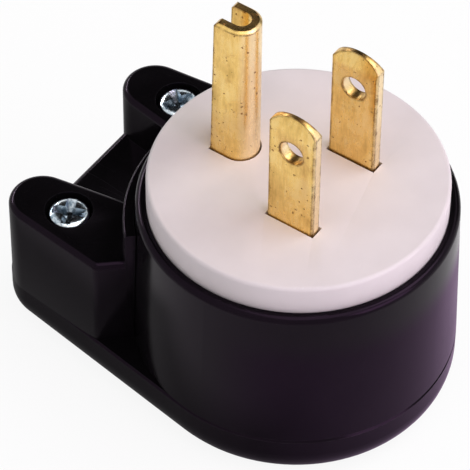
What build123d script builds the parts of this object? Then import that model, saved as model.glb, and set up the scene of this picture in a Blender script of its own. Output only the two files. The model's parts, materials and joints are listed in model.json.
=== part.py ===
from build123d import *
import math
import os

# All lengths are millimetres. The origin is the centre of the flat back under the round body, +Z runs
# along the pins, the cord leaves toward -Y and the body is the same on both sides of the YZ plane.

# Pins of a 15 A, 125 V grounded plug: section, spacing and reach beyond the face
blade_width = 6.35
blade_thickness = 1.52
blade_pitch = 12.7
blade_reach = 17.1
blade_tip_arch = 1.7
blade_tip_thickness = 0.5
blade_taper_height = 2.2
blade_edge_break = 0.2
blade_hole_d = 3.2
blade_hole_height = 11.85
ground_offset = 11.9
ground_width = 4.75
ground_leg = 2.6
ground_tip_leg = 2.2
ground_wall = 1.2
ground_reach = 20.7
ground_tip_break = 0.35
pin_row_y = 3.54
slot_clearance = 0.2

# Round body: back cover, outer shell and the face that stands proud of it
shell_draft = 0.6
rim_width = 1.17
cover_thickness = 7.3
shell_height = 21.25
rim_round = 0.8
seam_break = 0.25
face_radius = 17.9
face_proud = 3.85
face_round = 0.5
insert_thickness = 10.0
insert_flange = 2.4
ledge_width = 1.1
ledge_height = 2.5
shell_wall = 2.35
cover_floor = 2.5
cover_round = 4.7
spigot_wall = 1.2
spigot_height = 1.8
fit = 0.1

# Cord outlet: a tongue on the cover and the clamp with its two screw posts. Each reach toward the cord
# is measured from the round body's seam.
tongue_reach = 14.55
tongue_end_half = 15.3
tongue_corner = 5.2
cord_hole_d = 9.4
cord_rib_height = 0.6
cord_rib_width = 1.2
cord_rib_pitch = 3.4
cord_rib_count = 3
post_height = 13.35
post_end_x = 11.65
post_reach = 9.45
post_end_radius = 4.05
post_inner_x = 5.5
post_outer_x = 17.05
post_back_inset = 2.4
post_corner = 1.2
post_round = 0.8
web_height = 6.3
web_reach = 12.2
collar_wall = 0.83
collar_height = 18.15
collar_half_angle = 45.0
collar_round = 0.3

# Clamp screws and the brass inserts that they thread into
clamp_screw_x = 11.4
clamp_screw_reach = 5.6
clamp_screw_d = 3.5
clamp_head_d = 5.3
clamp_head_height = 1.9
clamp_head_sink = 0.15
clamp_head_gap = 0.3
clamp_screw_length = 15.5
clamp_insert_d = 5.6
clamp_insert_length = 5.0

# Screws that draw the cover, the retainer and the insert together from the back
assembly_inset = 4.82
assembly_screw_d = 3.0
assembly_head_d = 5.6
assembly_head_height = 2.0
assembly_head_sink = 1.3
assembly_bite = 7.0
assembly_boss_d = 7.6
hole_clearance = 0.2
thread_gap = 0.05

# Terminals: foot of each pin, wire clamp and screw, behind the insert
foot_width = 8.4
foot_reach = 9.0
foot_bend = 1.2
ground_foot_reach = 9.6
retainer_thickness = 1.6
retainer_cover = 2.7
terminal_inset = 3.0
terminal_screw_d = 3.5
terminal_head_d = 5.9
terminal_head_height = 2.0
terminal_relief = 3.0
wire_clamp_length = 5.8
wire_clamp_width = 7.6
wire_clamp_thickness = 1.2
drive_width = 1.0
drive_depth = 0.9

z_seam = cover_thickness
z_rim = z_seam + shell_height
z_face = z_rim + face_proud
z_insert = z_face - insert_thickness
z_ledge = z_rim - insert_flange
z_retainer = z_insert - retainer_thickness
z_post = z_seam + post_height
z_web = z_seam + web_height
z_collar = z_seam + collar_height
opening_radius = face_radius + fit
rim_radius = opening_radius + rim_width
seam_radius = rim_radius + shell_draft
bore_radius = seam_radius - shell_wall
ledge_radius = opening_radius - ledge_width
assembly_ring_radius = bore_radius - assembly_inset
collar_radius = seam_radius + fit + collar_wall
tongue_end_y = -seam_radius - tongue_reach
post_end_y = -seam_radius - post_reach
post_back_y = -seam_radius + post_back_inset
web_end_y = -seam_radius - web_reach
clamp_screw_y = -seam_radius - clamp_screw_reach
blade_x = blade_pitch / 2
ground_y = pin_row_y - ground_offset
cord_radius = cord_hole_d / 2
up = (Align.CENTER, Align.CENTER, Align.MIN)
down = (Align.CENTER, Align.CENTER, Align.MAX)


def rod(radius, z_low, z_high, x=0.0, y=0.0):
    return Pos(x, y, z_low) * Cylinder(radius, z_high - z_low, align=up)


def block(x_low, x_high, y_low, y_high, z_low, z_high):
    centre = Pos((x_low + x_high) / 2, (y_low + y_high) / 2, (z_low + z_high) / 2)
    return centre * Box(x_high - x_low, y_high - y_low, z_high - z_low)


def assembly_points():
    angles = (90.0, 210.0, 330.0)
    ring = assembly_ring_radius
    return [(ring * math.cos(math.radians(a)), ring * math.sin(math.radians(a))) for a in angles]


def cord_bore(y_low, y_high):
    # Bore of the cord tunnel, narrowed by ribs that bite into the jacket.
    length = y_high - y_low
    lying = Pos(0, (y_low + y_high) / 2, z_seam) * Rot(90, 0, 0)
    bore = lying * Cylinder(cord_radius - cord_rib_height, length)
    first = clamp_screw_y - cord_rib_pitch * (cord_rib_count - 1) / 2
    edges = [y_low]
    for index in range(cord_rib_count):
        rib_y = first + index * cord_rib_pitch
        edges += [rib_y - cord_rib_width / 2, rib_y + cord_rib_width / 2]
    edges.append(y_high)
    for start, stop in zip(edges[0::2], edges[1::2]):
        groove = Pos(0, (start + stop) / 2, z_seam) * Rot(90, 0, 0) * Cylinder(cord_radius, stop - start)
        bore += groove
    return bore


def shell_cone(grow):
    # Drafted outer surface of the shell, grown outward by a clearance.
    section = Polyline(
        (0, z_seam),
        (seam_radius + grow, z_seam),
        (rim_radius + grow, z_rim),
        (0, z_rim),
        close=True,
    )
    return revolve(Plane.XZ * make_face(section), Axis.Z)


def hull_of(*faces):
    edges = [edge for face in faces for edge in face.edges()]
    return make_hull(edges)


def prism(plan, z_low, z_high):
    return Pos(0, 0, z_low) * extrude(plan, z_high - z_low, dir=(0, 0, 1))


# Back cover: a shallow round tray with the tongue that carries the cord clamp
corner_x = tongue_end_half - tongue_corner
corner_y = tongue_end_y + tongue_corner
corners = [Pos(side * corner_x, corner_y) * Circle(tongue_corner) for side in (-1, 1)]
outline = hull_of(Circle(seam_radius), *corners)
cover = prism(outline, 0, cover_thickness)
cover = fillet(cover.edges().group_by(Axis.Z)[0], cover_round)
cover = chamfer(cover.edges().group_by(Axis.Z)[-1], seam_break)
spigot_radius = bore_radius - fit
cover += rod(spigot_radius, z_seam - seam_break, z_seam + spigot_height)
cover -= rod(spigot_radius - spigot_wall, cover_floor, z_seam + spigot_height)
for x, y in assembly_points():
    cover += rod(assembly_boss_d / 2, cover_floor - 0.5, z_retainer, x, y)
cover -= cord_bore(tongue_end_y - 1, -spigot_radius / 2)
head_radius = assembly_head_d / 2 + hole_clearance
z_assembly_seat = assembly_head_sink + assembly_head_height
for x, y in assembly_points():
    cover -= rod(head_radius, -1, z_assembly_seat, x, y)
    cover -= rod(assembly_screw_d / 2 + hole_clearance, 0, z_retainer + 1, x, y)
z_clamp_insert = z_seam - clamp_insert_length
for side in (-1, 1):
    cover -= rod(clamp_insert_d / 2, z_clamp_insert, z_seam + 1, side * clamp_screw_x, clamp_screw_y)

# Outer shell: a drafted sleeve with a ledge inside that the insert's flange seats on
section = Polyline(
    (bore_radius, z_seam),
    (seam_radius, z_seam),
    (rim_radius, z_rim),
    (opening_radius, z_rim),
    (opening_radius, z_ledge),
    (ledge_radius, z_ledge),
    (ledge_radius, z_ledge - ledge_height),
    (bore_radius, z_ledge - ledge_height),
    close=True,
)
shell = revolve(Plane.XZ * make_face(section), Axis.Z)
rim_edges = shell.edges().filter_by(GeomType.CIRCLE)
shell = fillet(rim_edges.group_by(Axis.Z)[-1].sort_by(SortBy.LENGTH)[-1], rim_round)
seam_edges = shell.edges().filter_by(GeomType.CIRCLE)
shell = chamfer(seam_edges.group_by(Axis.Z)[0].sort_by(SortBy.LENGTH)[-1], seam_break)
cord_slot = Pos(0, -seam_radius, z_seam) * Rot(90, 0, 0) * Cylinder(cord_radius + fit, seam_radius)
shell -= cord_slot

# Cord clamp: a collar against the shell, a web over the cord and the two screw posts
z_head_seat = z_post - clamp_head_sink - clamp_head_height
envelope = shell_cone(fit)
collar_sweep = math.radians(collar_half_angle)
collar = rod(collar_radius, z_seam, z_collar)
collar = fillet(collar.edges().group_by(Axis.Z)[-1], collar_round)
collar_x = collar_radius * math.sin(collar_sweep)
collar_y = -collar_radius * math.cos(collar_sweep)
wedge = Polygon((0, 0), (-2 * collar_x, 2 * collar_y), (0, -3 * collar_radius), (2 * collar_x, 2 * collar_y), align=None)
collar = collar & prism(wedge, 0, z_collar)
inner_y = -rim_radius / 2
near_corners = [(post_inner_x, post_back_y), (post_outer_x, post_back_y)]
near_corners += [(collar_x, collar_y), (post_inner_x, inner_y)]
near_end = Polygon(*near_corners, align=None)
post_plan = hull_of(near_end, Pos(post_end_x, post_end_y) * Circle(post_end_radius))
post = prism(post_plan, z_seam, z_post)
post = fillet(post.edges().filter_by(Axis.Z).sort_by(Axis.X)[-1], post_corner)
post = fillet(post.edges().group_by(Axis.Z)[-1], post_round)
web = block(-post_end_x, post_end_x, web_end_y, inner_y, z_seam, z_web)
web_edge = web.edges().filter_by(Axis.X).group_by(Axis.Z)[-1].sort_by(Axis.Y)[0]
web = fillet(web_edge, post_round)
clamp = collar + post + mirror(post, Plane.YZ) + web
clamp -= envelope
clamp -= rod(rim_radius / 2, z_seam, z_post)
clamp -= cord_bore(tongue_end_y - 1, 0)
for side in (-1, 1):
    head = rod(clamp_head_d / 2 + clamp_head_gap, z_head_seat, z_post + 1, side * clamp_screw_x, clamp_screw_y)
    shank = rod(clamp_screw_d / 2 + hole_clearance, z_seam - 1, z_post, side * clamp_screw_x, clamp_screw_y)
    clamp -= head + shank


def foot_pocket(plan_grow):
    # Plan of the feet of the three pins, grown by a clearance, under the insert.
    half = foot_width / 2 + plan_grow
    inner = blade_x - blade_thickness / 2 - plan_grow
    outer = blade_x - blade_thickness / 2 + foot_reach + plan_grow
    feet = Part()
    for side in (-1, 1):
        x_low, x_high = sorted((side * inner, side * outer))
        y_low, y_high = pin_row_y - half, pin_row_y + half
        feet += block(x_low, x_high, y_low, y_high, z_insert - 1, z_insert + blade_thickness + plan_grow)
    y_top = ground_y + ground_width / 2 + plan_grow
    y_end = y_top - ground_foot_reach - 2 * plan_grow
    feet += block(-half, half, y_end, y_top, z_insert - 1, z_insert + ground_wall + plan_grow)
    return feet


def u_section(grow):
    # Closed outline of the U of the ground pin, its round side toward the blades.
    radius = ground_width / 2 + grow
    bow = Pos(0, ground_y) * Circle(radius)
    legs = Pos(0, ground_y - (ground_leg + grow) / 2) * Rectangle(2 * radius, ground_leg + grow)
    return bow + legs


# Terminal screws stand on the feet, one for each pin
blade_screw_x = blade_x - blade_thickness / 2 + foot_reach - terminal_inset
ground_screw_y = ground_y + ground_width / 2 - ground_foot_reach + terminal_inset
terminals = {
    "line": (-blade_screw_x, pin_row_y),
    "neutral": (blade_screw_x, pin_row_y),
    "ground": (0.0, ground_screw_y),
}
feet_height = {"line": blade_thickness, "neutral": blade_thickness, "ground": ground_wall}

# Face insert: the pale disc whose flange sits on the ledge of the shell
insert = rod(face_radius, z_ledge, z_face)
insert = fillet(insert.edges().group_by(Axis.Z)[-1], face_round)
insert += rod(ledge_radius - fit, z_insert, z_ledge)
insert -= foot_pocket(fit)
slot = Box(blade_thickness + 2 * slot_clearance, blade_width + 2 * slot_clearance, 3 * insert_thickness)
for side in (-1, 1):
    insert -= Pos(side * blade_x, pin_row_y, z_insert) * slot
insert -= prism(u_section(slot_clearance), z_insert - 1, z_face + 1)
for x, y in terminals.values():
    insert -= rod(terminal_screw_d / 2 + hole_clearance, z_insert, z_insert + blade_thickness + terminal_relief, x, y)
for x, y in assembly_points():
    insert -= rod(assembly_screw_d / 2 + thread_gap, z_insert, z_insert + assembly_bite, x, y)

# Retainer: the plate that keeps the feet of the pins in their pockets
retainer = rod(bore_radius - fit, z_retainer, z_insert)
notch_half = foot_width / 2 + hole_clearance
notch_x = blade_x - blade_thickness / 2 + retainer_cover
for side in (-1, 1):
    x_low, x_high = sorted((side * notch_x, side * 2 * bore_radius))
    retainer -= block(x_low, x_high, pin_row_y - notch_half, pin_row_y + notch_half, 0, z_face)
notch_y = ground_y + ground_width / 2 - retainer_cover
retainer -= block(-notch_half, notch_half, -2 * bore_radius, notch_y, 0, z_face)
for x, y in assembly_points():
    retainer -= rod(assembly_screw_d / 2 + hole_clearance, 0, z_face, x, y)


# Blade: an L of flat brass with an arched tip, a hole through it and a tapped foot
inner_x = blade_x - blade_thickness / 2
outer_x = inner_x + blade_thickness
tip_z = z_face + blade_reach
half_width = blade_width / 2
shoulder_z = tip_z - blade_tip_arch
arch = ThreePointArc((half_width, shoulder_z), (0, tip_z), (-half_width, shoulder_z))
sides = Polyline((-half_width, shoulder_z), (-half_width, z_insert), (half_width, z_insert), (half_width, shoulder_z))
leaf_plane = Plane(origin=(inner_x, pin_row_y, 0), x_dir=(0, 1, 0), z_dir=(1, 0, 0))
leaf = extrude(leaf_plane * make_face(arch + sides), blade_thickness)
bar = Rectangle(blade_thickness, blade_width)
bar = Pos(blade_x, pin_row_y) * chamfer(bar.vertices(), blade_edge_break)
leaf = leaf & prism(bar, z_insert, tip_z)
half_tip = blade_tip_thickness / 2
z_taper = tip_z - blade_taper_height
taper = Polyline(
    (inner_x, z_insert),
    (inner_x, z_taper),
    (blade_x - half_tip, tip_z),
    (blade_x + half_tip, tip_z),
    (outer_x, z_taper),
    (outer_x, z_insert),
    close=True,
)
leaf = leaf & extrude(Plane.XZ * make_face(taper), 2 * blade_width, both=True)
y_low, y_high = pin_row_y - foot_width / 2, pin_row_y + foot_width / 2
foot = block(inner_x, inner_x + foot_reach, y_low, y_high, z_insert, z_insert + blade_thickness)
foot = fillet(foot.edges().filter_by(Axis.Y).group_by(Axis.Z)[0].sort_by(Axis.X)[0], foot_bend)
blade = foot + (leaf & block(inner_x, outer_x, y_low, y_high, z_insert + foot_bend, tip_z))
hole = Pos(blade_x, pin_row_y, z_face + blade_hole_height) * Rot(0, 90, 0)
blade -= hole * Cylinder(blade_hole_d / 2, 2 * blade_thickness)
blade -= rod(terminal_screw_d / 2 + thread_gap, z_insert - 1, z_insert + 2 * blade_thickness, blade_screw_x, pin_row_y)

# Ground pin: brass folded into a U, open toward the cord, with its foot bent the same way
pin_tip_z = z_face + ground_reach
pin = prism(u_section(0), z_insert, pin_tip_z)
open_side = Polyline(
    (ground_y - ground_leg, z_insert),
    (ground_y - ground_leg, z_face),
    (ground_y - ground_tip_leg, pin_tip_z),
    (ground_y + ground_width, pin_tip_z),
    (ground_y + ground_width, z_insert),
    close=True,
)
pin = pin & extrude(Plane.YZ * make_face(open_side), ground_width, both=True)
outer_rim = pin.edges().group_by(Axis.Z)[-1].filter_by(lambda edge: edge.center().Y > ground_y - ground_leg + 0.01)
pin = chamfer(outer_rim, ground_tip_break)
channel_radius = ground_width / 2 - ground_wall
channel = rod(channel_radius, z_insert + ground_wall, pin_tip_z + 1, 0, ground_y)
channel += block(-channel_radius, channel_radius, ground_y - 2 * ground_leg, ground_y, z_insert + ground_wall, pin_tip_z + 1)
pin -= channel
y_top = ground_y + ground_width / 2
ground_foot = block(-foot_width / 2, foot_width / 2, y_top - ground_foot_reach, y_top, z_insert, z_insert + ground_wall)
pin += ground_foot
pin -= rod(terminal_screw_d / 2 + thread_gap, z_insert - 1, z_insert + 2 * ground_wall, 0, ground_screw_y)


def wire_clamp(x, y, along_x):
    # Pressure plate under the screw head, grooved across so the strands can't slip.
    long_side, wide_side = wire_clamp_length, wire_clamp_width
    if not along_x:
        long_side, wide_side = wide_side, long_side
    z_low = z_insert - wire_clamp_thickness
    plate = block(x - long_side / 2, x + long_side / 2, y - wide_side / 2, y + wide_side / 2, z_low, z_insert)
    plate -= rod(terminal_screw_d / 2 + hole_clearance, z_low - 1, z_insert + 1, x, y)
    return plate


def screw(x, y, z_under, shank, diameter, head_d, head_height, head_up):
    # Pan head with a cross slot, head on top or below its seat.
    head = rod(head_d / 2, 0, head_height)
    head = chamfer(head.edges().group_by(Axis.Z)[-1], head_height * 0.35, head_height * 0.6)
    for turn in (0, 90):
        bar = Box(head_d * 0.62, drive_width, drive_depth, align=down)
        head -= Pos(0, 0, head_height) * Rot(0, 0, turn) * bar
    body = head + rod(diameter / 2, -shank, 0)
    if not head_up:
        body = Rot(180, 0, 0) * body
    return Pos(x, y, z_under) * body


# Loose pieces, each in its own file
pieces = {
    "back_cover": cover,
    "body_shell": shell,
    "cord_clamp": clamp,
    "face_insert": insert,
    "terminal_retainer": retainer,
    "neutral_blade": blade,
    "line_blade": mirror(blade, Plane.YZ),
    "ground_pin": pin,
}
z_terminal = z_insert - wire_clamp_thickness
for name, (x, y) in terminals.items():
    shank = wire_clamp_thickness + feet_height[name] + terminal_relief - hole_clearance
    pieces[name + "_wire_clamp"] = wire_clamp(x, y, name != "ground")
    pieces[name + "_terminal_screw"] = screw(
        x, y, z_terminal, shank, terminal_screw_d, terminal_head_d, terminal_head_height, False
    )
for name, side in (("left", -1), ("right", 1)):
    x = side * clamp_screw_x
    pieces["clamp_screw_" + name] = screw(
        x,
        clamp_screw_y,
        z_head_seat,
        clamp_screw_length,
        clamp_screw_d,
        clamp_head_d,
        clamp_head_height,
        True,
    )
    sleeve = rod(clamp_insert_d / 2, z_clamp_insert, z_seam, x, clamp_screw_y)
    sleeve -= rod(clamp_screw_d / 2 + thread_gap, 0, z_seam + 1, x, clamp_screw_y)
    pieces["clamp_insert_" + name] = sleeve
assembly_shank = z_insert + assembly_bite - z_assembly_seat
for name, (x, y) in zip(("front", "left", "right"), assembly_points()):
    pieces["assembly_screw_" + name] = screw(
        x,
        y,
        z_assembly_seat,
        assembly_shank,
        assembly_screw_d,
        assembly_head_d,
        assembly_head_height,
        False,
    )

os.makedirs("parts", exist_ok=True)
for name, piece in pieces.items():
    piece.label = name
    export_step(piece, "parts/" + name + ".step")
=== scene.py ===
import json
import math
import bmesh
import bpy
from mathutils import Matrix, Vector


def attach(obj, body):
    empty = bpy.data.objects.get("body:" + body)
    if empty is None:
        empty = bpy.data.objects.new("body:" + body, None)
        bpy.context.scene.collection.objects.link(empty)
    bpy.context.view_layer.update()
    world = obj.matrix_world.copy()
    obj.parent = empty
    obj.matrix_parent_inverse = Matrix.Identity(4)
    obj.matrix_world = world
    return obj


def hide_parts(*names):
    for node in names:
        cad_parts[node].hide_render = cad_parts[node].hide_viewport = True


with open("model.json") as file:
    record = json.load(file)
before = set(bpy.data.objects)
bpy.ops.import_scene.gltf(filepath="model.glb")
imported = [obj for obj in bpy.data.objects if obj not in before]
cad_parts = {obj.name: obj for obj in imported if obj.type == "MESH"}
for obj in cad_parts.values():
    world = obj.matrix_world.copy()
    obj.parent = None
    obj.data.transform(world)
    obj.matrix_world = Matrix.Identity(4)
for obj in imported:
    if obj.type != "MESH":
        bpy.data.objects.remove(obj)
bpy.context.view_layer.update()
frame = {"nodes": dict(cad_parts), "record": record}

print("stage: frame loaded")

# Lengths of pieces and of wear are given in millimetres, and those of the camera and the stage in metres.
unit = 0.001
nodes = frame["nodes"]


# Mesh helpers
def finishMesh(mesh, name, sharpAngle=32.0):
    bmesh.ops.recalc_face_normals(mesh, faces=mesh.faces)
    limit = math.radians(sharpAngle)
    for face in mesh.faces:
        face.smooth = True
    for edge in mesh.edges:
        edge.smooth = len(edge.link_faces) == 2 and edge.calc_face_angle(0.0) < limit
    data = bpy.data.meshes.new(name)
    mesh.to_mesh(data)
    mesh.free()
    return data


def newPiece(name, mesh, sharpAngle=32.0):
    piece = bpy.data.objects.new(name, finishMesh(mesh, name, sharpAngle))
    bpy.context.scene.collection.objects.link(piece)
    return piece


def swapMesh(piece, data):
    old = piece.data
    piece.data = data
    bpy.data.meshes.remove(old)


def nodeBox(name):
    # Corners of a CAD node in millimetres.
    corners = [vertex.co for vertex in nodes[name].data.vertices]
    low = [min(corner[axis] for corner in corners) / unit for axis in range(3)]
    high = [max(corner[axis] for corner in corners) / unit for axis in range(3)]
    return low, high


def applyModifiers(piece):
    bpy.context.view_layer.update()
    depsgraph = bpy.context.evaluated_depsgraph_get()
    data = bpy.data.meshes.new_from_object(piece.evaluated_get(depsgraph))
    piece.modifiers.clear()
    swapMesh(piece, data)


def carve(piece, mesh):
    cutter = newPiece("cutter", mesh)
    step = piece.modifiers.new("carve", "BOOLEAN")
    step.operation = "DIFFERENCE"
    step.solver = "EXACT"
    step.object = cutter
    applyModifiers(piece)
    bpy.data.objects.remove(cutter)


def softenEdges(piece, width, segments=3, angle=30.0):
    step = piece.modifiers.new("soften", "BEVEL")
    step.width = width * unit
    step.segments = segments
    step.limit_method = "ANGLE"
    step.angle_limit = math.radians(angle)
    step.profile = 0.5
    step.miter_outer = "MITER_ARC"
    applyModifiers(piece)


def resmooth(piece, sharpAngle=32.0):
    mesh = bmesh.new()
    mesh.from_mesh(piece.data)
    bmesh.ops.remove_doubles(mesh, verts=mesh.verts, dist=1e-7)
    swapMesh(piece, finishMesh(mesh, piece.name, sharpAngle))


def softCopy(node, name, width, segments=3):
    # The CAD solid again, merged and flattened to real faces, with its edges broken as the made part's are.
    mesh = bmesh.new()
    mesh.from_mesh(nodes[node].data)
    bmesh.ops.remove_doubles(mesh, verts=mesh.verts, dist=1e-6)
    flat = math.radians(0.4)
    bmesh.ops.dissolve_limit(mesh, angle_limit=flat, verts=mesh.verts, edges=mesh.edges)
    piece = newPiece(name, mesh)
    softenEdges(piece, width, segments)
    resmooth(piece)
    return piece


def addPiece(piece, material, slot, *replaced):
    piece.data.materials.clear()
    piece.data.materials.append(material)
    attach(piece, "root")
    if replaced:
        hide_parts(*replaced)


# Node helpers
def newMaterial(name):
    material = bpy.data.materials.new(name)
    material.use_nodes = True
    tree = material.node_tree
    tree.nodes.clear()
    shader = tree.nodes.new("ShaderNodeBsdfPrincipled")
    output = tree.nodes.new("ShaderNodeOutputMaterial")
    tree.links.new(shader.outputs["BSDF"], output.inputs["Surface"])
    return material, tree, shader


def feed(tree, socket, value):
    if isinstance(value, (int, float)):
        socket.default_value = value
    elif isinstance(value, tuple):
        socket.default_value = (*value, 1.0) if len(socket.default_value) == 4 else value
    else:
        tree.links.new(value, socket)


def noiseNode(tree, vector, scale, detail=3.0, roughness=0.5, distortion=0.0):
    node = tree.nodes.new("ShaderNodeTexNoise")
    for name, value in (("Vector", vector), ("Scale", scale), ("Detail", detail)):
        feed(tree, node.inputs[name], value)
    feed(tree, node.inputs["Roughness"], roughness)
    feed(tree, node.inputs["Distortion"], distortion)
    return node.outputs["Fac"]


def rampNode(tree, value, stops):
    node = tree.nodes.new("ShaderNodeValToRGB")
    ramp = node.color_ramp
    while len(ramp.elements) < len(stops):
        ramp.elements.new(0.5)
    for element, (position, colour) in zip(ramp.elements, stops):
        element.position = position
        element.color = (*colour, 1.0)
    tree.links.new(value, node.inputs["Fac"])
    return node.outputs["Color"]


def rangeNode(tree, value, low, high, outLow, outHigh):
    node = tree.nodes.new("ShaderNodeMapRange")
    names = ("Value", "From Min", "From Max", "To Min", "To Max")
    for name, given in zip(names, (value, low, high, outLow, outHigh)):
        feed(tree, node.inputs[name], given)
    return node.outputs["Result"]


def mathNode(tree, operation, first, second=0.0):
    node = tree.nodes.new("ShaderNodeMath")
    node.operation = operation
    feed(tree, node.inputs[0], first)
    feed(tree, node.inputs[1], second)
    return node.outputs["Value"]


def mixColours(tree, factor, first, second):
    node = tree.nodes.new("ShaderNodeMix")
    node.data_type = "RGBA"
    node.clamp_factor = True
    for name, value in (("Factor", factor), ("A", first), ("B", second)):
        socket = [s for s in node.inputs if s.name == name and s.enabled][0]
        feed(tree, socket, value)
    return [s for s in node.outputs if s.enabled][0]


def bumpNode(tree, height, strength, distance, normal=None):
    node = tree.nodes.new("ShaderNodeBump")
    node.inputs["Strength"].default_value = strength
    node.inputs["Distance"].default_value = distance * unit
    tree.links.new(height, node.inputs["Height"])
    if normal is not None:
        tree.links.new(normal, node.inputs["Normal"])
    return node.outputs["Normal"]


def stretched(tree, vector, scale):
    node = tree.nodes.new("ShaderNodeMapping")
    node.inputs["Scale"].default_value = scale
    tree.links.new(vector, node.inputs["Vector"])
    return node.outputs["Vector"]


def newGroup(name, inputs, outputs):
    tree = bpy.data.node_groups.new(name, "ShaderNodeTree")
    for label, kind, value in inputs:
        socket = tree.interface.new_socket(name=label, in_out="INPUT", socket_type=kind)
        if value is not None:
            socket.default_value = value
    for label, kind in outputs:
        tree.interface.new_socket(name=label, in_out="OUTPUT", socket_type=kind)
    given = tree.nodes.new("NodeGroupInput").outputs
    result = tree.nodes.new("NodeGroupOutput").inputs
    return tree, given, result


def placeGroup(tree, group, **values):
    node = tree.nodes.new("ShaderNodeGroup")
    node.node_tree = group
    for label, value in values.items():
        feed(tree, node.inputs[label], value)
    return node.outputs


# Shared effects: worn edges, fine grain, clinging dust, hairline scratches and painted shade in hollows
effectValues = {
    "wearRange": (0.9998, 0.98),
    "wearPatchScale": 700.0,
    "wearPatches": (0.38, 0.6, 0.3, 1.0),
    "dustBendScale": 3600.0,
    "dustBend": 0.6,
    "dustSizes": (0.35, 1.3),
    "scratchPatchScale": 260.0,
    # Painted shade in hollows:
    "hollowShadeRange": (0.85, 0.25),
    "hollowShadePatchScale": 1100.0,
    "hollowShadePatches": (0.3, 0.6, 0.55, 1.0),
}


def edgeWearGroup(values):
    inputs = [("radius", "NodeSocketFloat", 0.0002), ("amount", "NodeSocketFloat", 1.0)]
    inputs.append(("place", "NodeSocketVector", None))
    tree, given, result = newGroup("edgeWear", inputs, [("mask", "NodeSocketFloat")])
    rounded = tree.nodes.new("ShaderNodeBevel")
    rounded.samples = 6
    tree.links.new(given["radius"], rounded.inputs["Radius"])
    surface = tree.nodes.new("ShaderNodeNewGeometry")
    turn = tree.nodes.new("ShaderNodeVectorMath")
    turn.operation = "DOT_PRODUCT"
    tree.links.new(rounded.outputs["Normal"], turn.inputs[0])
    tree.links.new(surface.outputs["Normal"], turn.inputs[1])
    edge = rangeNode(tree, turn.outputs["Value"], *values["wearRange"], 0.0, 1.0)
    patches = noiseNode(tree, given["place"], values["wearPatchScale"], 4.0, 0.6)
    broken = rangeNode(tree, patches, *values["wearPatches"])
    mask = mathNode(tree, "MULTIPLY", mathNode(tree, "MULTIPLY", edge, broken), given["amount"])
    tree.links.new(mask, result["mask"])
    return tree


def grainGroup():
    inputs = [("place", "NodeSocketVector", None), ("scale", "NodeSocketFloat", 5000.0)]
    inputs += [("wave", "NodeSocketFloat", 150.0), ("depth", "NodeSocketFloat", 0.5)]
    tree, given, result = newGroup("mouldGrain", inputs, [("height", "NodeSocketFloat")])
    fine = noiseNode(tree, given["place"], given["scale"], 3.0, 0.6)
    broad = noiseNode(tree, given["place"], given["wave"], 3.0, 0.5)
    height = mathNode(tree, "ADD", mathNode(tree, "MULTIPLY", fine, given["depth"]), broad)
    tree.links.new(height, result["height"])
    return tree


def dustGroup(values):
    inputs = [("place", "NodeSocketVector", None), ("spacing", "NodeSocketFloat", 400.0)]
    inputs += [("size", "NodeSocketFloat", 0.08), ("share", "NodeSocketFloat", 0.2)]
    tree, given, result = newGroup("clingingDust", inputs, [("mask", "NodeSocketFloat")])
    bend = noiseNode(tree, given["place"], values["dustBendScale"], 3.0, 0.7)
    shifted = tree.nodes.new("ShaderNodeVectorMath")
    shifted.operation = "MULTIPLY_ADD"
    tree.links.new(bend.node.outputs["Color"], shifted.inputs[0])
    shifted.inputs[1].default_value = [values["dustBend"] * unit] * 3
    tree.links.new(given["place"], shifted.inputs[2])
    cells = tree.nodes.new("ShaderNodeTexVoronoi")
    tree.links.new(shifted.outputs["Vector"], cells.inputs["Vector"])
    tree.links.new(given["spacing"], cells.inputs["Scale"])
    parts = tree.nodes.new("ShaderNodeSeparateColor")
    tree.links.new(cells.outputs["Color"], parts.inputs["Color"])
    factor = rangeNode(tree, parts.outputs["Green"], 0.0, 1.0, *values["dustSizes"])
    uneven = mathNode(tree, "MULTIPLY", given["size"], factor)
    spot = mathNode(tree, "LESS_THAN", cells.outputs["Distance"], uneven)
    chosen = mathNode(tree, "LESS_THAN", parts.outputs["Red"], given["share"])
    tree.links.new(mathNode(tree, "MULTIPLY", spot, chosen), result["mask"])
    return tree


def scratchGroup(values):
    inputs = [("place", "NodeSocketVector", None), ("scale", "NodeSocketFloat", 500.0)]
    inputs += [("width", "NodeSocketFloat", 0.02), ("share", "NodeSocketFloat", 0.45)]
    tree, given, result = newGroup("hairScratches", inputs, [("mask", "NodeSocketFloat")])
    lines = noiseNode(tree, given["place"], given["scale"], 1.0, 0.3, 0.4)
    distance = mathNode(tree, "ABSOLUTE", mathNode(tree, "SUBTRACT", lines, 0.5))
    thin = mathNode(tree, "LESS_THAN", distance, given["width"])
    where = noiseNode(tree, given["place"], values["scratchPatchScale"], 2.0, 0.5)
    chosen = mathNode(tree, "LESS_THAN", where, given["share"])
    tree.links.new(mathNode(tree, "MULTIPLY", thin, chosen), result["mask"])
    return tree


# Painted shade: darkens hollows and recesses by ambient occlusion, broken into patches.
def hollowShadeGroup(values):
    inputs = [("place", "NodeSocketVector", None), ("reach", "NodeSocketFloat", 0.001)]
    inputs.append(("amount", "NodeSocketFloat", 0.5))
    tree, given, result = newGroup("recessShade", inputs, [("mask", "NodeSocketFloat")])
    hollow = tree.nodes.new("ShaderNodeAmbientOcclusion")
    hollow.samples = 8
    tree.links.new(given["reach"], hollow.inputs["Distance"])
    depth = rangeNode(tree, hollow.outputs["AO"], *values["hollowShadeRange"], 0.0, 1.0)
    patches = noiseNode(tree, given["place"], values["hollowShadePatchScale"], 4.0, 0.6)
    patches = rangeNode(tree, patches, *values["hollowShadePatches"])
    mask = mathNode(tree, "MULTIPLY", mathNode(tree, "MULTIPLY", depth, patches), given["amount"])
    tree.links.new(mask, result["mask"])
    return tree


edgeWear = edgeWearGroup(effectValues)
mouldGrain = grainGroup()
clingingDust = dustGroup(effectValues)
hairScratches = scratchGroup(effectValues)
recessShade = hollowShadeGroup(effectValues)


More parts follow.
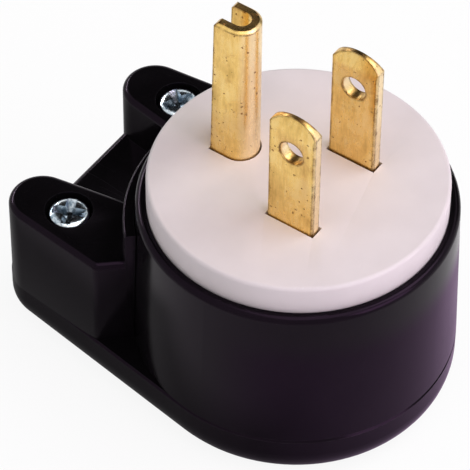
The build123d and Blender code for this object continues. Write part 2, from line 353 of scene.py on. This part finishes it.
# Moulded plastic: glossy black nylon, pale nylon and dark fibre
def mouldedPlastic(name, look):
    material, tree, shader = newMaterial(name)
    place = tree.nodes.new("ShaderNodeTexCoord").outputs["Object"]
    grain = placeGroup(tree, mouldGrain, place=place, scale=look["grainScale"], wave=look["waveScale"])
    cloud = noiseNode(tree, place, look["cloudScale"], 4.0, 0.55)
    tone = rampNode(tree, cloud, [(0.32, look["dark"]), (0.68, look["light"])])
    worn = placeGroup(tree, edgeWear, place=place, radius=look["wearRadius"] * unit, amount=look["wear"])
    colour = mixColours(tree, worn["mask"], tone, look["worn"])
    specks = {"spacing": look["dustSpacing"], "size": look["dustSize"], "share": look["dustShare"]}
    dust = placeGroup(tree, clingingDust, place=place, **specks)
    colour = mixColours(tree, dust["mask"], colour, look["dust"])
    lengthwise = stretched(tree, place, look["scuffRun"])
    lines = {"scale": look["scuffScale"], "width": look["scuffWidth"], "share": look["scuffShare"]}
    scuffs = placeGroup(tree, hairScratches, place=lengthwise, **lines)
    scuffed = mathNode(tree, "MULTIPLY", scuffs["mask"], look["scuffAmount"])
    tree.links.new(mixColours(tree, scuffed, colour, look["worn"]), shader.inputs["Base Color"])
    rough = rangeNode(tree, cloud, 0.3, 0.7, look["roughLow"], look["roughHigh"])
    rough = mathNode(tree, "ADD", rough, mathNode(tree, "MULTIPLY", scuffed, look["scuffRough"]))
    tree.links.new(rough, shader.inputs["Roughness"])
    shader.inputs["Specular IOR Level"].default_value = look["specular"]
    shader.inputs["Specular Tint"].default_value = (*look["specularTint"], 1.0)
    tree.links.new(bumpNode(tree, grain["height"], 1.0, look["grainDepth"]), shader.inputs["Normal"])
    return material


blackLook = {
    "dark": (0.0025, 0.0022, 0.0026),
    "light": (0.0041, 0.0035, 0.0042),
    "worn": (0.03, 0.028, 0.032),
    "dust": (0.26, 0.24, 0.27),
    "cloudScale": 90.0,
    "grainScale": 5200.0,
    "waveScale": 150.0,
    "grainDepth": 0.006,
    "wearRadius": 0.12,
    "wear": 0.35,
    "dustSpacing": 420.0,
    "dustSize": 0.05,
    "dustShare": 0.035,
    "scuffRun": (1.0, 0.06, 0.3),
    "scuffScale": 500.0,
    "scuffWidth": 0.005,
    "scuffShare": 0.4,
    "scuffAmount": 0.1,
    "scuffRough": 0.3,
    "roughLow": 0.12,
    "roughHigh": 0.22,
    "specular": 0.09,
    "specularTint": (0.95, 0.54, 1.0),
}
paleLook = dict(
    blackLook,
    dark=(0.665, 0.602, 0.612),
    light=(0.72, 0.655, 0.668),
    worn=(0.76, 0.71, 0.71),
    dust=(0.36, 0.31, 0.3),
    cloudScale=110.0,
    grainDepth=0.012,
    dustShare=0.05,
    scuffAmount=0.1,
    roughLow=0.42,
    roughHigh=0.55,
    specular=0.3,
    specularTint=(1.0, 1.0, 1.0),
)
fibreLook = dict(
    blackLook,
    dark=(0.035, 0.028, 0.02),
    light=(0.055, 0.045, 0.034),
    worn=(0.1, 0.08, 0.06),
    roughLow=0.6,
    roughHigh=0.75,
)


# Metals: rolled brass, bright plate, nickel and the green screw
def wornMetal(name, look):
    material, tree, shader = newMaterial(name)
    place = tree.nodes.new("ShaderNodeTexCoord").outputs["Object"]
    along = stretched(tree, place, look["brush"])
    streaks = noiseNode(tree, along, look["streakScale"], 4.0, 0.65)
    cloud = noiseNode(tree, place, look["cloudScale"], 5.0, 0.6)
    blend = mathNode(tree, "MULTIPLY_ADD", cloud, look["cloudShare"])
    streaked = mathNode(tree, "MULTIPLY", streaks, 1.0 - look["cloudShare"])
    tree.links.new(streaked, blend.node.inputs[2])
    tone = rampNode(tree, blend, [(0.36, look["dark"]), (0.5, look["mid"]), (0.66, look["light"])])
    blotches = noiseNode(tree, place, look["stainScale"], 6.0, 0.7, 0.6)
    stain = rangeNode(tree, blotches, 0.56, 0.72, 0.0, look["stain"])
    colour = mixColours(tree, stain, tone, look["stainColour"])
    # Painted reflection: sides toward +Y are lightened and ends toward +Z darkened, by which way they face.
    facing = tree.nodes.new("ShaderNodeSeparateXYZ")
    tree.links.new(tree.nodes.new("ShaderNodeNewGeometry").outputs["Normal"], facing.inputs["Vector"])
    sideReflection = rangeNode(tree, facing.outputs["Y"], 0.4, 0.95, 0.0, look["sideReflection"])
    colour = mixColours(tree, sideReflection, colour, look["sideReflectionColour"])
    topDarkReflection = rangeNode(tree, facing.outputs["Z"], 0.74, 0.9, 0.0, look["topDarkReflection"])
    topDarkReflection = mathNode(tree, "MULTIPLY", topDarkReflection, rangeNode(tree, streaks, 0.3, 0.6, 1.0, 0.55))
    colour = mixColours(tree, topDarkReflection, colour, look["topReflectionColour"])
    worn = placeGroup(tree, edgeWear, place=place, radius=look["wearRadius"] * unit, amount=look["wear"])
    colour = mixColours(tree, worn["mask"], colour, look["edge"])
    # Painted shade darkens the hollows and recesses.
    hollowShade = placeGroup(tree, recessShade, place=place, reach=look["hollowShadeReach"] * unit, amount=look["hollowShade"])
    colour = mixColours(tree, hollowShade["mask"], colour, look["hollowShadeColour"])
    nearby = placeGroup(tree, edgeWear, place=place, radius=look["pitReach"] * unit, amount=look["pitCrowd"])
    share = mathNode(tree, "ADD", nearby["mask"], look["pitShare"])
    holes = {"spacing": look["pitSpacing"], "size": look["pitSize"], "share": share}
    pits = placeGroup(tree, clingingDust, place=place, **holes)
    lines = {"scale": look["scratchScale"], "width": look["scratchWidth"], "share": look["scratchShare"]}
    scratches = placeGroup(tree, hairScratches, place=stretched(tree, place, look["scratchRun"]), **lines)
    scored = mathNode(tree, "MULTIPLY", scratches["mask"], look["scratch"])
    marks = mathNode(tree, "MAXIMUM", mathNode(tree, "MULTIPLY", pits["mask"], look["pitDark"]), scored)
    tree.links.new(mixColours(tree, marks, colour, look["pit"]), shader.inputs["Base Color"])
    rough = rangeNode(tree, blend, 0.3, 0.7, look["roughHigh"], look["roughLow"])
    rough = mathNode(tree, "ADD", rough, mathNode(tree, "MULTIPLY", marks, look["markRough"]))
    tree.links.new(rough, shader.inputs["Roughness"])
    shader.inputs["Metallic"].default_value = look["metallic"]
    fine = bumpNode(tree, streaks, look["streakStrength"], look["streakDepth"])
    tree.links.new(bumpNode(tree, cloud, 1.0, look["waveDepth"], fine), shader.inputs["Normal"])
    return material


brassLook = {
    "dark": (0.70, 0.45, 0.13),
    "mid": (0.91, 0.62, 0.20),
    "light": (0.96, 0.71, 0.29),
    "stainColour": (0.52, 0.27, 0.08),
    "edge": (0.10, 0.04, 0.012),
    # Painted reflection by facing: lighter +Y sides, darker +Z ends
    "sideReflection": 0.6,
    "sideReflectionColour": (1.0, 0.86, 0.62),
    "topDarkReflection": 0.85,
    "topReflectionColour": (0.20, 0.085, 0.035),
    "pit": (0.24, 0.10, 0.025),
    # Painted shade in hollows
    "hollowShadeReach": 0.8,
    "hollowShade": 0.75,
    "hollowShadeColour": (0.16, 0.07, 0.025),
    "brush": (1.0, 1.0, 0.16),
    "streakScale": 2200.0,
    "cloudScale": 260.0,
    "cloudShare": 0.55,
    "stainScale": 420.0,
    "stain": 0.5,
    "wearRadius": 0.42,
    "wear": 1.0,
    "pitSpacing": 2300.0,
    "pitSize": 0.3,
    "pitShare": 0.075,
    "pitDark": 0.85,
    "markRough": 0.3,
    "pitReach": 0.9,
    "pitCrowd": 0.5,
    "scratchRun": (1.0, 1.0, 0.05),
    "scratchScale": 1500.0,
    "scratchWidth": 0.006,
    "scratchShare": 0.42,
    "scratch": 0.3,
    "roughLow": 0.2,
    "roughHigh": 0.36,
    "metallic": 1.0,
    "streakStrength": 0.5,
    "streakDepth": 0.008,
    "waveDepth": 0.02,
}
plateLook = dict(
    brassLook,
    dark=(0.10, 0.17, 0.23),
    mid=(0.66, 0.73, 0.79),
    light=(0.96, 0.98, 1.0),
    stainColour=(0.22, 0.30, 0.38),
    edge=(0.10, 0.12, 0.15),
    # No painted reflection by facing on plate
    sideReflection=0.0,
    topDarkReflection=0.0,
    pit=(0.03, 0.04, 0.06),
    # Painted shade in hollows
    hollowShadeReach=1.1,
    hollowShade=0.95,
    hollowShadeColour=(0.012, 0.03, 0.045),
    brush=(1.0, 1.0, 1.0),
    streakScale=1500.0,
    cloudScale=900.0,
    wear=0.5,
    pitShare=0.02,
    scratch=0.3,
    roughLow=0.08,
    roughHigh=0.2,
    waveDepth=0.05,
)
nickelLook = dict(plateLook, dark=(0.42, 0.39, 0.33), mid=(0.62, 0.59, 0.52), light=(0.8, 0.77, 0.7))
greenLook = dict(
    plateLook,
    dark=(0.01, 0.10, 0.03),
    mid=(0.02, 0.20, 0.06),
    light=(0.04, 0.30, 0.09),
    metallic=0.4,
    roughHigh=0.4,
)

slotMaterials = {
    "black_nylon": mouldedPlastic("blackPlastic", blackLook),
    "pale_nylon": mouldedPlastic("palePlastic", paleLook),
    "dark_fibre": mouldedPlastic("darkFibre", fibreLook),
    "brass": wornMetal("brass", brassLook),
    "plated_steel": wornMetal("brightPlate", plateLook),
    "nickel_plate": wornMetal("nickelPlate", nickelLook),
    "green_finish": wornMetal("greenFinish", greenLook),
}
nodeSlots = {}
for row in frame["record"]["subparts"]:
    nodeSlots[row["node"]] = row["material_slot"]
    nodes[row["node"]].data.materials.clear()
    nodes[row["node"]].data.materials.append(slotMaterials[row["material_slot"]])
print("stage: materials")

# Pieces that carry their mould's or tool's broken edges
softValues = {
    "line_blade": 0.09,
    "neutral_blade": 0.09,
    "ground_pin": 0.12,
    "face_insert": 0.08,
    "cord_clamp": 0.12,
}
for node, width in softValues.items():
    slot = nodeSlots[node]
    addPiece(softCopy(node, "soft_" + node, width), slotMaterials[slot], slot, node)
print("stage: broken edges")

# Screws: domed head with a cross recess, and a rolled thread
screwValues = {
    "rimShare": 0.5,
    "rimRound": 0.45,
    "crownRound": 0.8,
    "recessReach": 0.84,
    "recessWidth": 1.25,
    "recessDepth": 1.3,
    "recessTip": 0.42,
    "threadPitch": 0.7,
    "threadDepth": 0.28,
    "threadOverlap": 0.02,
    "ringsPerTurn": 8,
    "sides": 40,
    "headSteps": 64,
    "crownSteps": 12,
    "sharpAngle": 40.0,
}


def taperedBar(length, top, values):
    # One wing of the cross, narrower toward its floor.
    width = values["recessWidth"]
    depth = values["recessDepth"]
    tip = values["recessTip"]
    mesh = bmesh.new()
    made = bmesh.ops.create_cube(mesh, size=1.0)
    bmesh.ops.scale(mesh, vec=(length * unit, width * unit, depth * unit), verts=made["verts"])
    floor = [vertex for vertex in mesh.verts if vertex.co.z < 0]
    bmesh.ops.scale(mesh, vec=(tip, tip, 1.0), verts=floor)
    bmesh.ops.translate(mesh, vec=(0, 0, (top - depth / 2) * unit), verts=mesh.verts)
    return mesh


def headMesh(radius, height, values):
    # Section of a pan head spun about the screw's axis.
    mesh = bmesh.new()
    rim = values["rimShare"] * height
    profile = [(0.0, 0.0), (radius, 0.0), (radius, rim)]
    steps = values["crownSteps"]
    for index in range(1, steps + 1):
        angle = math.radians(90.0 * index / steps)
        reach = radius * max(0.0, math.cos(angle)) ** values["rimRound"]
        profile.append((reach, rim + (height - rim) * math.sin(angle) ** values["crownRound"]))
    profile[-1] = (0.0, height)
    verts = [mesh.verts.new((r * unit, 0.0, z * unit)) for r, z in profile]
    edges = [mesh.edges.new((verts[i], verts[i + 1])) for i in range(len(verts) - 1)]
    turning = {"cent": (0, 0, 0), "axis": (0, 0, 1), "angle": math.tau, "use_merge": True}
    bmesh.ops.spin(mesh, geom=verts + edges, steps=values["headSteps"], **turning)
    bmesh.ops.remove_doubles(mesh, verts=mesh.verts, dist=1e-7)
    return mesh


def threadMesh(radius, length, values):
    # A cylinder whose wall is pushed in along a helix.
    pitch = values["threadPitch"]
    rings = int(length / pitch * values["ringsPerTurn"])
    mesh = bmesh.new()
    made = bmesh.ops.create_circle(mesh, cap_ends=False, segments=values["sides"], radius=radius * unit)
    edges = list(mesh.edges)
    bmesh.ops.translate(mesh, vec=(0, 0, values["threadOverlap"] * unit), verts=made["verts"])
    drop = -length * unit / rings
    for _ in range(rings):
        lifted = bmesh.ops.extrude_edge_only(mesh, edges=edges)
        verts = [item for item in lifted["geom"] if isinstance(item, bmesh.types.BMVert)]
        edges = [item for item in lifted["geom"] if isinstance(item, bmesh.types.BMEdge)]
        edges = [edge for edge in edges if all(vertex in verts for vertex in edge.verts)]
        bmesh.ops.translate(mesh, vec=(0, 0, drop), verts=verts)
    for vertex in mesh.verts:
        turn = math.atan2(vertex.co.y, vertex.co.x) / math.tau
        phase = (vertex.co.z / (pitch * unit) - turn) % 1.0
        near = min(1.0, (-vertex.co.z / unit) / pitch, (length + vertex.co.z / unit) / pitch)
        dip = values["threadDepth"] * abs(2 * phase - 1) * max(0.0, near)
        vertex.co.xy *= 1.0 - dip / radius
    bmesh.ops.holes_fill(mesh, edges=mesh.edges, sides=values["sides"])
    return mesh


def screwPiece(node, values, headUp, shankRadius, headHeight, turn):
    low, high = nodeBox(node)
    radius = (high[0] - low[0]) / 2
    length = high[2] - low[2] - headHeight
    mesh = headMesh(radius, headHeight, values)
    piece = newPiece("dressed_" + node, mesh, values["sharpAngle"])
    for angle in (0, 90):
        bar = taperedBar(2 * radius * values["recessReach"], headHeight + 0.01, values)
        bmesh.ops.rotate(bar, matrix=Matrix.Rotation(math.radians(angle), 3, "Z"), verts=bar.verts)
        carve(piece, bar)
    whole = bmesh.new()
    whole.from_mesh(piece.data)
    shankData = finishMesh(threadMesh(shankRadius, length, values), "shank")
    whole.from_mesh(shankData)
    bpy.data.meshes.remove(shankData)
    flip = Matrix.Identity(4) if headUp else Matrix.Rotation(math.pi, 4, "X")
    seat = high[2] - headHeight if headUp else low[2] + headHeight
    spot = Vector(((low[0] + high[0]) / 2, (low[1] + high[1]) / 2, seat)) * unit
    place = Matrix.Translation(spot) @ flip @ Matrix.Rotation(math.radians(turn), 4, "Z")
    bmesh.ops.transform(whole, matrix=place, verts=whole.verts)
    swapMesh(piece, finishMesh(whole, piece.name, values["sharpAngle"]))
    slot = nodeSlots[node]
    addPiece(piece, slotMaterials[slot], slot, node)


# Each screw: head up or down, shank radius, head height and the turn of its cross
screwRows = {
    "clamp_screw_right": (True, 1.75, 1.9, 24.0),
    "clamp_screw_left": (True, 1.75, 1.9, 62.0),
    "assembly_screw_front": (False, 1.5, 2.0, 12.0),
    "assembly_screw_left": (False, 1.5, 2.0, 51.0),
    "assembly_screw_right": (False, 1.5, 2.0, 77.0),
    "line_terminal_screw": (False, 1.75, 2.0, 33.0),
    "neutral_terminal_screw": (False, 1.75, 2.0, 8.0),
    "ground_terminal_screw": (False, 1.75, 2.0, 45.0),
}
for node, row in screwRows.items():
    screwPiece(node, screwValues, *row)
print("stage: screws")

# Knurled brass inserts under the clamp screws
insertValues = {"teeth": 28, "toothDepth": 0.22, "boreShare": 0.64, "sharpAngle": 20.0}


def knurledSleeve(node, values):
    low, high = nodeBox(node)
    radius = (high[0] - low[0]) / 2
    middle = Vector(((low[0] + high[0]) / 2, (low[1] + high[1]) / 2, low[2])) * unit
    sides = 2 * values["teeth"]
    mesh = bmesh.new()
    outer = bmesh.ops.create_circle(mesh, cap_ends=False, segments=sides, radius=radius * unit)["verts"]
    for index, vertex in enumerate(outer):
        if index % 2:
            vertex.co *= 1.0 - values["toothDepth"] / radius
    reach = values["boreShare"] * radius * unit
    bmesh.ops.create_circle(mesh, cap_ends=False, segments=sides, radius=reach)
    bmesh.ops.bridge_loops(mesh, edges=mesh.edges)
    raised = bmesh.ops.extrude_face_region(mesh, geom=mesh.faces)
    lifted = [item for item in raised["geom"] if isinstance(item, bmesh.types.BMVert)]
    bmesh.ops.translate(mesh, vec=(0, 0, (high[2] - low[2]) * unit), verts=lifted)
    bmesh.ops.translate(mesh, vec=middle, verts=mesh.verts)
    slot = nodeSlots[node]
    addPiece(newPiece("knurled_" + node, mesh, values["sharpAngle"]), slotMaterials[slot], slot, node)


for side in ("left", "right"):
    knurledSleeve("clamp_insert_" + side, insertValues)

# Wire clamps with grooves across, which bite into the strands
grooveValues = {"count": 4, "pitch": 1.13, "depth": 0.3, "lift": 0.013, "length": 20.0, "edge": 0.1}


def groovedClamp(node, values):
    low, high = nodeBox(node)
    acrossX = high[1] - low[1] > high[0] - low[0]
    piece = softCopy(node, "grooved_" + node, values["edge"], 2)
    middle = [(low[axis] + high[axis]) / 2 for axis in range(3)]
    width = math.sqrt(2) * values["depth"] * unit
    length = values["length"] * unit
    size = (width, length, width) if acrossX else (length, width, width)
    eighth = Matrix.Rotation(math.radians(45), 3, "Y" if acrossX else "X")
    bars = bmesh.new()
    for index in range(values["count"]):
        made = bmesh.ops.create_cube(bars, size=1.0)["verts"]
        bmesh.ops.rotate(bars, matrix=eighth, verts=made)
        bmesh.ops.scale(bars, vec=size, verts=made)
        spot = list(middle)
        spot[0 if acrossX else 1] += (index - (values["count"] - 1) / 2) * values["pitch"]
        spot[2] = high[2] + values["lift"]
        bmesh.ops.translate(bars, vec=Vector(spot) * unit, verts=made)
    carve(piece, bars)
    resmooth(piece)
    slot = nodeSlots[node]
    addPiece(piece, slotMaterials[slot], slot, node)


for name in ("line", "neutral", "ground"):
    groovedClamp(name + "_wire_clamp", grooveValues)
print("stage: inserts and wire clamps")

# Camera at the photo's viewing angle
cameraValues = {
    "place": (0.2366345, 0.1535309, 0.3312787),
    "turn": (42.3469, -0.4464, 124.9609),
    "lens": 269.4,
    "sensor": 36.0,
    "clipStart": 0.01,
}
cameraData = bpy.data.cameras.new("photoCamera")
cameraData.lens = cameraValues["lens"]
cameraData.sensor_width = cameraValues["sensor"]
cameraData.clip_start = cameraValues["clipStart"]
camera = bpy.data.objects.new("photoCamera", cameraData)
camera.location = cameraValues["place"]
camera.rotation_euler = [math.radians(angle) for angle in cameraValues["turn"]]
bpy.context.scene.collection.objects.link(camera)
bpy.context.scene.camera = camera

# Floor and the pale surroundings, white to the camera, to reflections and through openings.
# Beside the plug the floor, as seen in reflections only, is painted darker as a painted shadow, and toward
# +Y it gets a painted purple tint in reflections.
stageValues = {
    "floorSize": 3.0,
    "white": 1.0,
    "floorColour": (0.9, 0.9, 0.9),
    "floorRough": 0.9,
    "floorLift": 0.9,
    "floorShine": 0.1,
    # Painted shadow and painted purple tint, seen only in the floor's reflections:
    "mirrorDim": 0.9,
    "mirroredShadowColour": (0.16, 0.155, 0.16),
    "mirroredPurpleTint": (0.84, 0.56, 0.9),
    "mirroredShadowTint": (0.17, 0.10, 0.19),
    "besideX": (0.032, 0.025),
    "besideY": (0.024, 0.008),
    "castY": (-0.006, 0.014),
    "mirrorReach": (0.034, 0.029),
    "worldLight": 0.36,
}


def pathMask(tree, seenShare=1.0, shineShare=1.0):
    path = tree.nodes.new("ShaderNodeLightPath").outputs
    seen = mathNode(tree, "MAXIMUM", path["Is Camera Ray"], path["Is Transmission Ray"])
    shine = mathNode(tree, "MULTIPLY", path["Is Glossy Ray"], shineShare)
    return mathNode(tree, "MAXIMUM", mathNode(tree, "MULTIPLY", seen, seenShare), shine)


floorMesh = bmesh.new()
bmesh.ops.create_grid(floorMesh, x_segments=1, y_segments=1, size=stageValues["floorSize"])
floor = newPiece("floor", floorMesh)
floorMaterial, floorTree, floorShader = newMaterial("paleFloor")
floorPlace = floorTree.nodes.new("ShaderNodeSeparateXYZ")
floorTree.links.new(floorTree.nodes.new("ShaderNodeTexCoord").outputs["Object"], floorPlace.inputs["Vector"])
besideX = rangeNode(floorTree, floorPlace.outputs["X"], *stageValues["besideX"], 0.0, 1.0)
besideY = rangeNode(floorTree, floorPlace.outputs["Y"], *stageValues["besideY"], 0.0, 1.0)
castY = rangeNode(floorTree, floorPlace.outputs["Y"], *stageValues["castY"], 0.0, 1.0)
# Only the low walls are near enough to mirror this; the pins stand too high.
floorPath = floorTree.nodes.new("ShaderNodeLightPath").outputs
nearby = rangeNode(floorTree, floorPath["Ray Length"], *stageValues["mirrorReach"], 0.0, 1.0)
mirrored = mathNode(floorTree, "MULTIPLY", floorPath["Is Glossy Ray"], nearby)
# Painted shadow: the floor mirrored beside the plug is darkened.
beside = mathNode(floorTree, "MULTIPLY", mathNode(floorTree, "MULTIPLY", besideX, besideY), mirrored)
dimmed = mathNode(floorTree, "MULTIPLY", beside, stageValues["mirrorDim"])
# Painted purple tint on the floor's reflection toward +Y.
cast = mathNode(floorTree, "MULTIPLY", mirrored, castY)
paleTone = mixColours(floorTree, cast, stageValues["floorColour"], stageValues["mirroredPurpleTint"])
dimTone = mixColours(floorTree, cast, stageValues["mirroredShadowColour"], stageValues["mirroredShadowTint"])
floorTone = mixColours(floorTree, dimmed, paleTone, dimTone)
floorTree.links.new(floorTone, floorShader.inputs["Base Color"])
floorShader.inputs["Roughness"].default_value = stageValues["floorRough"]
floorGlow = floorTree.nodes.new("ShaderNodeEmission")
floorGlow.inputs["Strength"].default_value = stageValues["white"]
floorBlend = floorTree.nodes.new("ShaderNodeMixShader")
lift = pathMask(floorTree, stageValues["floorLift"], stageValues["floorShine"])
floorTree.links.new(lift, floorBlend.inputs["Fac"])
floorTree.links.new(floorShader.outputs["BSDF"], floorBlend.inputs[1])
floorTree.links.new(floorGlow.outputs["Emission"], floorBlend.inputs[2])
floorEnd = [node for node in floorTree.nodes if node.type == "OUTPUT_MATERIAL"][0]
floorTree.links.new(floorBlend.outputs["Shader"], floorEnd.inputs["Surface"])
floor.data.materials.append(floorMaterial)

# World: even light, and white where it is seen or mirrored
world = bpy.data.worlds.new("studio")
bpy.context.scene.world = world
world.use_nodes = True
worldTree = world.node_tree
worldTree.nodes.clear()
either = worldTree.nodes.new("ShaderNodeMixShader")
worldTree.links.new(pathMask(worldTree), either.inputs["Fac"])
for socket, strength in ((1, stageValues["worldLight"]), (2, stageValues["white"])):
    background = worldTree.nodes.new("ShaderNodeBackground")
    background.inputs["Color"].default_value = (1.0, 1.0, 1.0, 1.0)
    background.inputs["Strength"].default_value = strength
    worldTree.links.new(background.outputs["Background"], either.inputs[socket])
worldOutput = worldTree.nodes.new("ShaderNodeOutputWorld")
worldTree.links.new(either.outputs["Shader"], worldOutput.inputs["Surface"])

# Dark cards behind the plug, which its black tops and the right of its rim mirror
cardValues = {
    "tone": 0.012,
    "rough": 0.95,
    "specular": 0.1,
    "cards": [((-0.26, -0.17, 0.40), 0.2), ((-0.5, 0.07, 0.16), 0.14)],
}
cardMesh = bmesh.new()
for place, halfSize in cardValues["cards"]:
    made = bmesh.ops.create_grid(cardMesh, x_segments=1, y_segments=1, size=halfSize)["verts"]
    facing = (-Vector(place)).to_track_quat("Z", "Y").to_matrix().to_4x4()
    bmesh.ops.transform(cardMesh, matrix=Matrix.Translation(place) @ facing, verts=made)
darkCards = newPiece("darkCards", cardMesh)
darkCards.visible_camera = False
darkCards.visible_diffuse = False
darkCards.visible_shadow = False
cardMaterial, _, cardShader = newMaterial("cardBlack")
cardShader.inputs["Base Color"].default_value = (*[cardValues["tone"]] * 3, 1.0)
cardShader.inputs["Roughness"].default_value = cardValues["rough"]
cardShader.inputs["Specular IOR Level"].default_value = cardValues["specular"]
darkCards.data.materials.append(cardMaterial)

# Softboxes aimed at the plug: place, size, power and colour of each
lampValues = {
    "aim": (0.0, -0.005, 0.02),
    "backSoftbox": ((-0.36, 0.38, 0.76), (0.45, 0.45), 2.6, (1.0, 1.0, 1.0)),
    "topSoftbox": ((0.16, 0.22, 0.88), (0.7, 0.7), 2.7, (1.0, 1.0, 1.0)),
    "rightSoftbox": ((0.0, 0.72, 0.4), (0.5, 0.5), 2.8, (0.98, 0.8, 1.0)),
    "edgeStrip": ((-0.26, -0.74, 0.46), (0.5, 0.04), 2.6, (1.0, 1.0, 1.0)),
}


def softbox(name, values):
    place, size, power, colour = values[name]
    data = bpy.data.lights.new(name, "AREA")
    data.shape = "RECTANGLE"
    data.size, data.size_y = size
    data.energy = power
    data.color = colour
    lamp = bpy.data.objects.new(name, data)
    lamp.location = place
    facing = Vector(values["aim"]) - Vector(place)
    lamp.rotation_euler = facing.to_track_quat("-Z", "Y").to_euler()
    bpy.context.scene.collection.objects.link(lamp)
    return lamp


softbox("backSoftbox", lampValues)
softbox("topSoftbox", lampValues)
softbox("rightSoftbox", lampValues)
# The strip only draws thin lines along the rims.
edgeStrip = softbox("edgeStrip", lampValues)
edgeStrip.visible_diffuse = False
bpy.context.scene.view_settings.view_transform = "Standard"
print("stage: camera and light")
